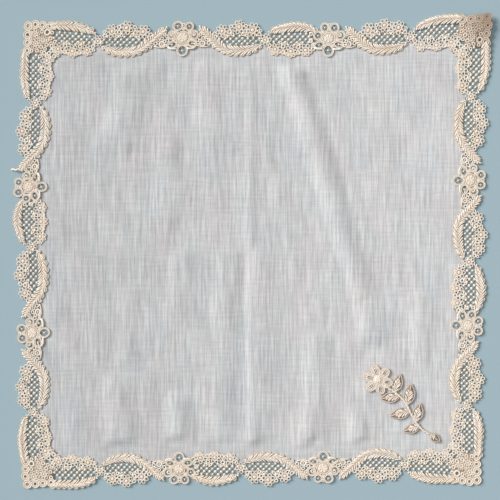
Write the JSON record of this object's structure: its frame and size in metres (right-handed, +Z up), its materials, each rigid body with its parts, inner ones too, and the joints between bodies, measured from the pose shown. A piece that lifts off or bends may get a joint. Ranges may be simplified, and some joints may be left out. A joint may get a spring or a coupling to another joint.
{
  "type": "lace handkerchief",
  "caption": "Square sheer linen handkerchief laid flat, with a wide cream lace border of sprays, rosettes and ring flowers, and a small lace spray applied in one corner.",
  "frame": {"origin": "middle of the handkerchief's outline, on the surface that it lies on", "axes": "+Z up out of the upper face, +X toward the right edge and +Y toward the far edge, as seen from above with the spray at the near right corner"},
  "size_m": [0.3355, 0.3327, 0.0048],
  "materials": {
    "linen": "sheer plain weave, matt",
    "lace": "cream thread lace, matt",
    "sprig_lace": "pale cream thread lace, matt"
  },
  "bodies": {
    "root": {"linen_field": "linen", "lace_border": "lace", "corner_sprig": "sprig_lace"}
  },
  "joints": []
}
